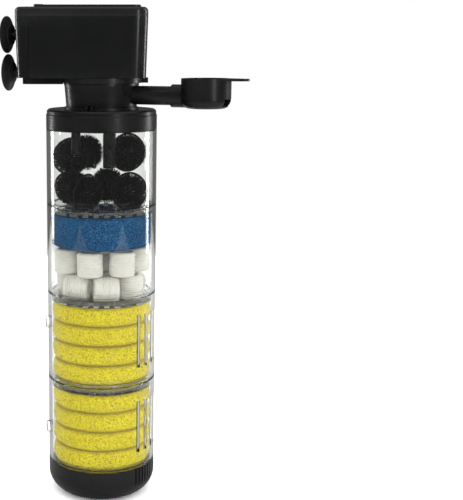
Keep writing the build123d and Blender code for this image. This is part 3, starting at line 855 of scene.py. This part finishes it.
@dataclass
class BioBalls:
    """Two layers of black spiked bio balls, each with a smooth band."""

    node: str = "bio_balls"
    body: str = "ball_barrel"
    diameter: float = 28.0 * MM
    barrel_wall: float = 2.5 * MM
    wall_gap: float = 0.4 * MM
    spines: int = 620
    spine_radius: float = 0.55 * MM
    spine_reach: tuple[float, float] = (0.90, 0.985)
    core: float = 9.0 * MM
    core_rows: int = 10
    core_steps: int = 20
    band_radius: float = 0.75 * MM
    band_steps: int = 48
    lower: tuple[float, ...] = (78.0, 162.0, 240.0, 328.0)
    upper: tuple[float, ...] = (36.0, 120.0, 201.0)
    stacked: float = 322.0
    rise: float = 24.8 * MM
    stacked_rise: float = 28.3 * MM
    seed: int = 5

    def centres(self) -> list[tuple[float, Vector]]:
        """Angle and centre of each ball.

        Returns:
            Pairs of the ball's angle in degrees and its centre.
        """
        _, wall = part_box("ball_barrel")
        low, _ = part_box(self.node)
        reach = wall.x - self.barrel_wall - self.diameter / 2 - self.wall_gap
        level = low.z + self.diameter / 2
        found = []
        layers = [(self.lower, 0.0), (self.upper, self.rise), ((self.stacked,), self.stacked_rise)]
        for angles, rise in layers:
            for angle in angles:
                turn = math.radians(angle)
                at = Vector((reach * math.cos(turn), reach * math.sin(turn), level + rise))
                found.append((angle, at))
        return found

    def spine(self, shape: Shape, centre: Vector, way: Vector, length: float) -> None:
        """Add one tapered spine.

        Args:
            shape: The shape that it joins.
            centre: The ball's centre.
            way: Direction of the spine.
            length: Its reach from the ball's centre.
        """
        side = way.orthogonal().normalized()
        other = way.cross(side)
        rings = ((self.core * 0.8, 1.0), (length * 0.85, 0.8), (length, 0.45))
        base = len(shape.verts)
        for reach, share in rings:
            for i in range(4):
                turn = math.pi / 2 * i
                spread = self.spine_radius * share
                offset = side * (spread * math.cos(turn)) + other * (spread * math.sin(turn))
                shape.verts.append(tuple(centre + way * reach + offset))
        for ring in range(2):
            for i in range(4):
                a = base + ring * 4 + i
                b = base + ring * 4 + (i + 1) % 4
                shape.faces.append((a, b, b + 4, a + 4))
        shape.faces.append(tuple(base + 8 + i for i in range(4)))
        shape.faces.append(tuple(base + 3 - i for i in range(4)))

    def ball(self, shape: Shape, centre: Vector, tilt: Matrix, rng: random.Random) -> None:
        """Add one ball: core, band and spines.

        Args:
            shape: The shape that it joins.
            centre: The ball's centre.
            tilt: Turn of the ball's own axis.
            rng: Seeded random source.
        """
        at = Matrix.Translation(centre) @ tilt
        turns = [math.pi * i / self.core_rows for i in range(self.core_rows + 1)]
        core = [(self.core * math.sin(t), -self.core * math.cos(t)) for t in turns]
        core[0] = (0.0, -self.core)
        core[-1] = (0.0, self.core)
        verts, faces = lathe(core, self.core_steps)
        shape.add(verts, faces, at)
        radius = self.diameter / 2 - self.band_radius
        band = arc(radius, 0.0, self.band_radius, 0, 315, 7)
        verts, faces = lathe(band, self.band_steps, closed=True)
        shape.add(verts, faces, at)
        golden = math.pi * (3 - math.sqrt(5))
        for i in range(self.spines):
            height = 1 - 2 * (i + 0.5) / self.spines
            level = height + rng.uniform(-0.02, 0.02)
            level = max(-0.999, min(0.999, level))
            ring = math.sqrt(1 - level * level)
            turn = golden * i + rng.uniform(-0.05, 0.05)
            way = tilt.to_3x3() @ Vector((ring * math.cos(turn), ring * math.sin(turn), level))
            reach = self.diameter / 2 * rng.uniform(*self.spine_reach)
            self.spine(shape, centre, way.normalized(), reach)

    def build(self) -> bpy.types.Object:
        """Build all balls in one piece, in place of the plain group.

        Returns:
            The finished piece.
        """
        rng = random.Random(self.seed)
        shape = Shape()
        for angle, centre in self.centres():
            tilt = Euler((rng.uniform(0.5, 1.5), rng.uniform(-0.6, 0.6), math.radians(angle)))
            self.ball(shape, centre, tilt.to_matrix().to_4x4(), rng)
        made = piece("bio_balls_spiked", shape.verts, shape.faces, MATERIALS["ball"], MEDIA_SMOOTH)
        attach(made, self.body)
        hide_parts(self.node)
        LOG.info("built %s", made.name)
        return made


# ------------------------------------------------------------------ CAD sub-assemblies


@dataclass
class Canister:
    """Base cup, clear barrels and their seals."""

    barrels: tuple[str, ...] = ("intake_barrel_lower", "intake_barrel_upper", "ring_barrel", "ball_barrel")
    clear_seals: tuple[str, ...] = ("seal_lower", "seal_middle", "seal_upper")
    black_seals: tuple[str, ...] = ("seal_base", "seal_cap")
    sponges: tuple[LobedSponge, ...] = (
        LobedSponge("sponge_lower", "lower_barrel"),
        LobedSponge("sponge_upper", "upper_barrel"),
    )
    blue: DiscSponge = field(default_factory=DiscSponge)
    rings: CeramicRings = field(default_factory=CeramicRings)
    balls: BioBalls = field(default_factory=BioBalls)

    def build(self) -> None:
        """Dress the shells and build what they hold."""
        dress(MATERIALS["black"], "base_cup")
        dress(MATERIALS["clear"], *self.barrels)
        dress(MATERIALS["clear_rubber"], *self.clear_seals)
        dress(MATERIALS["rubber"], *self.black_seals)
        for sponge in self.sponges:
            sponge.build()
        self.blue.build()
        self.rings.build()
        self.balls.build()


@dataclass
class CapAndOutlet:
    """Cap, neck, hanging tubes, outlet pipe and cup."""

    black: tuple[str, ...] = (
        "top_cap", "cap_neck", "eye_plate", "suction_tube", "return_tube", "outlet_pipe", "outlet_cup",
    )
    seals: tuple[str, ...] = ("outlet_seal", "neck_seal")

    def build(self) -> None:
        """Dress the cap's pieces."""
        dress(MATERIALS["black"], *self.black)
        dress(MATERIALS["rubber"], *self.seals)


@dataclass
class PumpHead:
    """Housing, lid, collar, lock ring, bracket and suction cups."""

    gloss: tuple[str, ...] = ("pump_housing", "suction_bracket")
    lid: tuple[str, ...] = ("pump_lid",)
    satin: tuple[str, ...] = ("pump_collar", "lock_ring")
    rubber: tuple[str, ...] = ("cable_gland", "suction_cup_upper", "suction_cup_lower")

    def build(self) -> None:
        """Dress the head's pieces."""
        dress(MATERIALS["pump"], *self.gloss)
        dress(MATERIALS["lid"], *self.lid)
        dress(MATERIALS["black"], *self.satin)
        dress(MATERIALS["rubber"], *self.rubber)


@dataclass
class Motor:
    """Synchronous motor sealed in the housing, and the impeller."""

    black: tuple[str, ...] = ("rotor_can", "impeller")
    bushes: tuple[str, ...] = ("shaft_bush_upper", "shaft_bush_lower")

    def build(self) -> None:
        """Dress the motor's pieces."""
        dress(MATERIALS["black"], *self.black)
        dress(MATERIALS["rubber"], *self.bushes)
        dress(MATERIALS["ceramic"], "rotor_shaft")
        dress(MATERIALS["ferrite"], "rotor_magnet")
        dress(MATERIALS["sheets"], "stator_core")
        dress(MATERIALS["copper"], "coil_winding")
        dress(MATERIALS["bobbin"], "coil_bobbin")
        dress(MATERIALS["resin"], "potting")


# ------------------------------------------------------------------ studio


@dataclass
class Studio:
    """Pale floor, soft lights and the camera."""

    floor_size: float = 1.8
    room: float = 0.14
    flood: float = 1.9
    lights: tuple[tuple[str, Point, tuple[float, float], float], ...] = (
        ("overhead", (0.0, 0.0, 1.9), (2.4, 2.4), 8.0),
        ("left_strip", (-1.05, 0.75, 0.45), (0.10, 1.2), 4.0),
        ("right_strip", (1.05, 0.45, 0.45), (0.10, 1.2), 5.0),
        ("front_fill", (0.9, -1.4, 0.7), (0.30, 1.0), 6.0),
    )
    distance: float = 0.7635
    eye_height: float = 0.333
    tilt: float = 11.0
    lens: float = 75.6
    shift: float = 0.26
    sensor: float = 36.0
    far: float = 50.0
    aim_height: float = 0.2
    white: Colour = (0.95, 0.95, 0.95)

    def camera(self) -> None:
        """Stand the camera in front of the canister, looking slightly down."""
        data = bpy.data.cameras.new("camera")
        data.lens = self.lens
        data.sensor_width = self.sensor
        data.shift_x = self.shift
        data.clip_end = self.far
        made = bpy.data.objects.new("camera", data)
        bpy.context.scene.collection.objects.link(made)
        made.location = (0.0, -self.distance, self.eye_height)
        made.rotation_euler = (math.radians(90 - self.tilt), 0.0, 0.0)
        bpy.context.scene.camera = made

    def light(self, name: str, place: Point, size: tuple[float, float], power: float) -> None:
        """Add a soft light that looks at the canister's middle.

        Args:
            name: The light's name.
            place: Where it stands.
            size: Width and height of its face.
            power: Its power in watts.
        """
        data = bpy.data.lights.new(name, "AREA")
        data.shape = "RECTANGLE"
        data.size = size[0]
        data.size_y = size[1]
        data.energy = power
        made = bpy.data.objects.new(name, data)
        bpy.context.scene.collection.objects.link(made)
        made.location = place
        made.visible_camera = False
        aim = Vector((0.0, 0.0, self.aim_height)) - Vector(place)
        made.rotation_euler = aim.to_track_quat("-Z", "Y").to_euler()

    def floor(self) -> None:
        """Lay the plain pale floor."""
        half = self.floor_size / 2
        tree = Tree("pale_floor")
        cloud = tree.noise(3.0)
        colour = tree.blend(cloud, self.white, tuple(c * 0.99 for c in self.white))
        shader = tree.node("ShaderNodeBsdfPrincipled", Base_Color=colour, Roughness=0.7)
        corners = [(-half, -half, 0.0), (half, -half, 0.0), (half, half, 0.0), (-half, half, 0.0)]
        made = piece("floor", corners, [(0, 1, 2, 3)], tree.finish(shader.outputs[0]))

    def world(self) -> None:
        """White surroundings, dimmer in gloss and brighter where light has scattered."""
        world = bpy.data.worlds.new("white_room")
        world.use_nodes = True
        nodes = world.node_tree.nodes
        links = world.node_tree.links
        back = nodes["Background"]
        back.inputs["Color"].default_value = (1.0, 1.0, 1.0, 1.0)
        path = nodes.new("ShaderNodeLightPath")
        shares = []
        for depth, level in (("Glossy Depth", self.room), ("Diffuse Depth", self.flood)):
            share = nodes.new("ShaderNodeMapRange")
            links.new(path.outputs[depth], share.inputs["Value"])
            share.inputs["To Min"].default_value = 1.0
            share.inputs["To Max"].default_value = level
            shares.append(share.outputs[0])
        strength = nodes.new("ShaderNodeMath")
        strength.operation = "MULTIPLY"
        for share, socket in zip(shares, strength.inputs):
            links.new(share, socket)
        links.new(strength.outputs[0], back.inputs["Strength"])
        bpy.context.scene.world = world

    def build(self) -> None:
        """Set up the whole studio."""
        self.camera()
        self.floor()
        self.world()
        for light in self.lights:
            self.light(*light)
        bpy.context.scene.view_settings.view_transform = "Standard"
        bpy.context.scene.cycles.glossy_bounces = 10
        bpy.context.scene.cycles.max_bounces = 18


MATERIALS: dict[str, bpy.types.Material] = {
    "black": BLACK.material(),
    "pump": GLOSS_BLACK.material(),
    "lid": LID_BLACK.material(),
    "ball": BALL_BLACK.material(),
    "bobbin": BOBBIN_WHITE.material(),
    "resin": RESIN.material(),
    "clear": CLEAR.material(),
    "clear_rubber": CLEAR_RUBBER.material(),
    "blue": BLUE.material(),
    "ceramic": IVORY.material(),
    "rubber": RUBBER.material(),
    "sheets": SHEETS.material(),
    "copper": COPPER.material(),
    "ferrite": FERRITE.material(),
}


def corners(box: tuple[Vector, Vector]) -> list[list[float]]:
    """A box's two corners as plain lists."""
    return [list(map(float, corner)) for corner in box]


def main() -> None:
    """Build the studio and every sub-assembly."""
    logging.basicConfig(level=logging.INFO, format="%(name)s: %(message)s")
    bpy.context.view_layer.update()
    Studio().build()
    Canister().build()
    CapAndOutlet().build()
    PumpHead().build()
    Motor().build()


if __name__ == "__main__":
    main()
